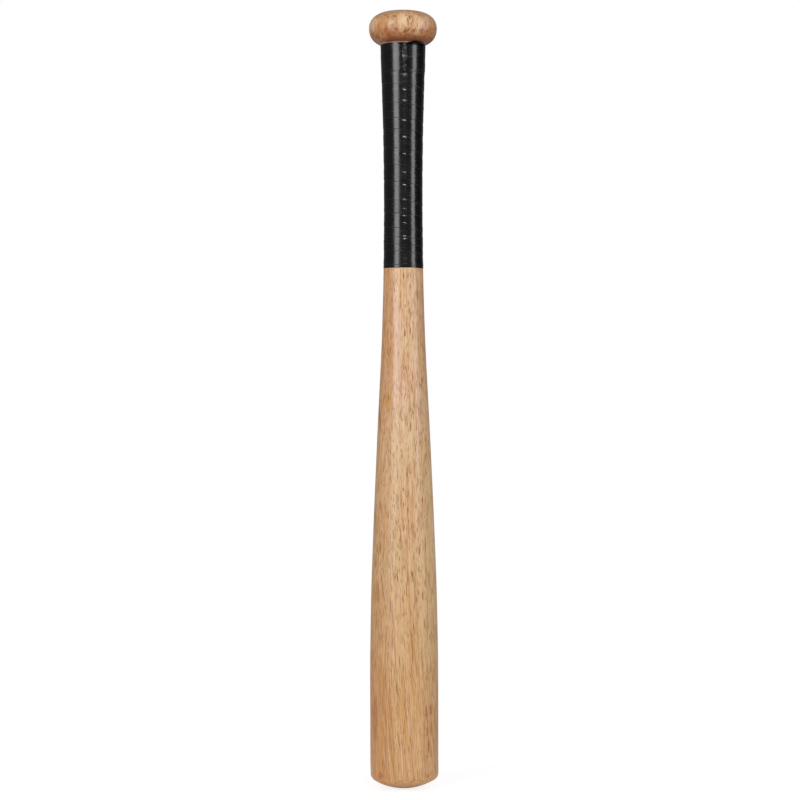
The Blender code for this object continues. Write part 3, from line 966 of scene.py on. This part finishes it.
tape = {
    "black": (0.0030, 0.0030, 0.0032, 1.0),
    "dull": (0.0050, 0.0050, 0.0053, 1.0),
    "smudged": 0.6,  # how dull smudges are
    "edgeDull": 0.4,  # and the lower edge
    "edgeWidth": (0.0009, 0.0001),  # both in metres up from the edge
    "dustWidth": (0.00055, 0.00025),
    "roughness": 0.18,
    # What each adds to the roughness
    "rougher": {"smudge": 0.05, "scratch": 0.02, "dust": 0.25, "scuffs": 0.14},
    "thumbed": 0.07,
    "creased": 0.8,  # the creased film by the cut end is this much smoother
    # Waves a metre along and across the strip, seed, detail and roughness of the noise
    "patterns": {
        "ridges": (110.0, 850.0, 0.0, 2.0, 0.55),
        "creases": (330.0, 1300.0, 3.0, 2.0, 0.5),
        "scuffs": (45.0, 2300.0, 7.0, 1.0, 0.5),
    },
    # Other noises: waves a mm, and where it isn't 2, the detail
    "noises": {"patch": (0.16, 1.0), "dust": (0.11,), "skin": (2.6,), "crumple": (0.90, 1.0)},
    # Where in its noise each begins and is full, and the shares there
    "patch": (0.35, 0.65, 0.35, 1.0),
    "scuffs": (0.45, 0.75),
    "dust": (0.3, 0.7),
    # Two heights in mm, and the shares there (0 and 1 where none are given)
    "heights": {
        "cutFrom": (605.0, 609.0),
        "cutUntil": (630.5, 629.5),
        "underKnob": (630.8, 631.6, 1.0, 0.4),
        "thumbFrom": (601.5, 604.0),
        "thumbUntil": (607.5, 605.0),
        # painted shade: where the tape's top under the knob is made dark
        "shadeUnderKnob": (629.0, 630.2, 0.0, 0.85),
    },
    # The same from left to right
    "sides": {"middleFrom": (-5.5, -1.5), "middleUntil": (6.0, 3.0), "shadeUnderKnob": (-3.8, -2.0)},
    "handling": (12.0, 11.0),  # mm, how large smudges and scratches are
    "depths": {"ridges": 0.30, "creases": 0.22, "skin": 0.04, "crumple": 1.7},
    "bump": {"Strength": 0.8, "Distance": 0.00013},
}


def makeBlackTape():
    material, tree, shader = newMaterial("blackGripTape")
    place = placeInMm(tree)
    x, z = split(place, "XZ")
    zone = {name: ease(z, *row) for name, row in tape["heights"].items()}
    side = {name: ease(x, *row) for name, row in tape["sides"].items()}
    along, across = split(addNode("ShaderNodeUVMap", tree=tree, uv_map="alongStrip").outputs["UV"], "XY")
    marks = useGroup(handlingMarks, place, *tape["handling"])

    def pattern(name):
        alongWaves, acrossWaves, seed, detail, roughness = tape["patterns"][name]
        drawn = vectorOf(times(along, alongWaves), times(across, acrossWaves), seed)
        return noise(drawn, 1.0, detail, roughness)

    # Stretched film: its ridges and scuffs are stronger in some places than in others
    noises = tape["noises"]
    patch = ease(noise(place, *noises["patch"]), *tape["patch"])
    middle = times(side["middleFrom"], side["middleUntil"])
    byCut = times(zone["cutFrom"], zone["cutUntil"], middle)
    scuffs = times(ease(pattern("scuffs"), *tape["scuffs"]), patch, fade(byCut, 1.0, 0.0))
    edge = ease(across, *tape["edgeWidth"])
    dust = times(ease(across, *tape["dustWidth"]), ease(noise(place, *noises["dust"]), *tape["dust"]))
    colour = blend(times(marks["Smudge"], tape["smudged"]), tape["black"], tape["dull"])
    colour = blend(times(edge, tape["edgeDull"]), colour, tape["dull"])
    roughness = tape["roughness"]
    masks = {"smudge": marks["Smudge"], "scratch": marks["Scratch"], "dust": dust, "scuffs": scuffs}
    for name, mask in masks.items():
        roughness = addTo(roughness, mask, tape["rougher"][name])
    roughness = times(roughness, fade(byCut, 1.0, tape["creased"]), zone["underKnob"])
    # A thumb has dulled one lap. By the cut end, the film's top under the knob is painted shade: Metallic on
    # the black takes its gloss away so that it shows dark
    thumbed = times(zone["thumbFrom"], zone["thumbUntil"], middle)
    roughness = addTo(roughness, thumbed, tape["thumbed"])
    shadeUnderKnob = times(zone["shadeUnderKnob"], side["shadeUnderKnob"])
    # Relief: ridges and creases along the strip, a fine skin, and the film crumpled by the cut end
    depths = tape["depths"]
    relief = addTo(times(pattern("ridges"), depths["ridges"]), pattern("creases"), depths["creases"])
    skin = times(noise(place, *noises["skin"]), depths["skin"])
    relief = addTo(skin, relief, patch)
    crumple = times(noise(place, *noises["crumple"]), byCut)
    relief = addTo(relief, crumple, depths["crumple"])
    bump = addNode("ShaderNodeBump", {"Height": relief, **tape["bump"]})
    setInputs(shader, {
        "Base Color": colour, "Roughness": roughness, "Metallic": shadeUnderKnob, "Normal": bump.outputs[0]})
    return material


makeTurnedBat(makeLacqueredWood())
makeWoundTape(makeBlackTape())


# Studio

studio = {
    "lamps": (
        # name, azimuth from the camera's side and distance, width, lowest, highest, brightness
        ("leftStripLow", -38.5, 1.0, 0.47, 0.04, 0.40, 3.3),
        ("leftStrip", -38.5, 1.0, 0.47, 0.40, 0.86, 5.8),
        ("leftStripTop", -38.5, 1.0, 0.47, 0.86, 1.14, 7.2),
        ("rightStripLow", 60.5, 1.0, 0.35, 0.04, 0.40, 3.1),
        ("rightStrip", 60.5, 1.0, 0.35, 0.40, 0.86, 5.2),
        ("rightStripTop", 60.5, 1.0, 0.35, 0.86, 1.14, 6.2),
        ("frontBox", 9.0, 1.2, 0.27, 0.90, 1.17, 17.5),
        ("backBox", 180.0, 1.4, 0.80, 0.05, 0.90, 6.0),
    ),
    "unmirrored": "backBox",  # lights the back, and leaves no bright rim in the gloss
    "fill": 0.27,
    "surround": 0.12,  # what the gloss sees in front and on the left
    "rightSide": 0.03,  # on the right
    "rightFade": (0.60, 0.95),
    "behind": 0.16,  # and behind the bat
    "behindFade": (0.62, 0.82),
}


def makeLamps():
    for name, azimuth, distance, width, lowest, highest, brightness in studio["lamps"]:
        height = highest - lowest
        light = bpy.data.lights.new(name, "AREA")
        light.shape = "RECTANGLE"
        light.size = width
        light.size_y = height
        light.energy = brightness * math.pi * width * height
        a = math.radians(azimuth)
        away = Vector((distance * math.sin(a), -distance * math.cos(a), 0.0))
        lamp = bpy.data.objects.new(name, light)
        lamp.location = away + Vector((0.0, 0.0, (lowest + highest) / 2))
        lamp.rotation_euler = (-away).to_track_quat("-Z", "Y").to_euler()
        lamp.visible_glossy = name != studio["unmirrored"]
        bpy.context.scene.collection.objects.link(lamp)
    print("made", len(studio["lamps"]), "lamps")


def raysOf(tree):
    # Two masks: what the camera sees straight or through glass, and what a gloss reflects
    ray = addNode("ShaderNodeLightPath", tree=tree).outputs
    return calc("MAXIMUM", ray["Is Camera Ray"], ray["Is Transmission Ray"]), ray["Is Glossy Ray"]


def makeWorld():
    world = bpy.data.worlds.new("paleStudio")
    bpy.context.scene.world = world
    world.use_nodes = True
    tree = world.node_tree
    seen, glossy = raysOf(tree)
    dx, dy = split(addNode("ShaderNodeTexCoord", tree=tree).outputs["Generated"], "XY")
    behind = ease(dy, *studio["behindFade"])
    side = ease(dx, *studio["rightFade"], studio["surround"], studio["rightSide"])
    mirror = addTo(side, behind, calc("SUBTRACT", studio["behind"], side))
    level = addTo(studio["fill"], glossy, calc("SUBTRACT", mirror, studio["fill"]))
    setInputs(tree.nodes["Background"], {
        "Color": (1.0, 1.0, 1.0, 1.0), "Strength": calc("MAXIMUM", level, seen)})
    print("made world")


floorSet = {
    "radius": 6.0,
    "rimPoints": 96,
    "shadeShare": 0.22,  # how much of the floor's look near the bat is real shading
    "shadeReach": (0.7, 0.25),
    "bounce": 0.25,  # how pale the floor is to light that bounces, far from the bat and by it
    "bounceNear": 0.88,
    "bounceReach": (0.35, 0.12),
    "inGloss": 0.20,
    "lift": 0.28,  # added to the shaded share, so that the floor stays white outside the shadow
}


def makeFloor():
    mesh = bpy.data.meshes.new("pale_floor")
    angle = np.linspace(0.0, 2 * math.pi, floorSet["rimPoints"], endpoint=False)
    rim = onCircle(floorSet["radius"], angle, np.zeros_like(angle))
    mesh.from_pydata(rim.tolist(), [], [list(range(len(rim)))])
    floor = bpy.data.objects.new("pale_floor", mesh)
    bpy.context.scene.collection.objects.link(floor)
    material, tree, plainShader = newMaterial("paleFloor")
    tree.nodes.remove(plainShader)
    white = (1.0, 1.0, 1.0, 1.0)
    away = vectorCalc("LENGTH", addNode("ShaderNodeTexCoord", tree=tree).outputs["Object"])
    share = times(ease(away, *floorSet["shadeReach"]), floorSet["shadeShare"])
    seen, glossy = raysOf(tree)
    seen = calc("MAXIMUM", seen, times(glossy, floorSet["inGloss"]))
    # Seen: white, with the bat's shadow in the shaded share. For light that bounces: a plain pale grey
    shade = addNode("ShaderNodeBsdfDiffuse", {"Color": white}, tree).outputs[0]
    glow = addNode("ShaderNodeEmission", {"Color": white}, tree).outputs[0]
    look = addNode("ShaderNodeMixShader", {0: share, 1: glow, 2: shade}).outputs[0]
    lift = addNode("ShaderNodeEmission", {"Strength": times(share, floorSet["lift"])}).outputs[0]
    look = addNode("ShaderNodeAddShader", {0: look, 1: lift}).outputs[0]
    pale = ease(away, *floorSet["bounceReach"], floorSet["bounce"], floorSet["bounceNear"])
    grey = addNode("ShaderNodeBsdfDiffuse", {"Color": pale}).outputs[0]
    both = addNode("ShaderNodeMixShader", {0: seen, 1: grey, 2: look}).outputs[0]
    setInputs(tree.nodes["Material Output"], {"Surface": both})
    mesh.materials.append(material)
    print("made floor")


shot = {
    "distance": 1.85,
    "height": 0.3297,
    "side": -0.0031,
    "frameWidth": 0.6818,  # what the frame spans at the bat
    "roll": 0.0020,
    "sensor": 36.0,
}


def makeCamera():
    camera = bpy.data.cameras.new("photoCamera")
    camera.sensor_width = shot["sensor"]
    camera.lens = shot["sensor"] * shot["distance"] / shot["frameWidth"]
    holder = bpy.data.objects.new("photoCamera", camera)
    holder.location = (shot["side"], -shot["distance"], shot["height"])
    holder.rotation_euler = (math.pi / 2, shot["roll"], 0.0)
    bpy.context.scene.collection.objects.link(holder)
    bpy.context.scene.camera = holder
    print("made camera")


makeLamps()
makeWorld()
makeFloor()
makeCamera()
bpy.context.scene.view_settings.view_transform = "Standard"
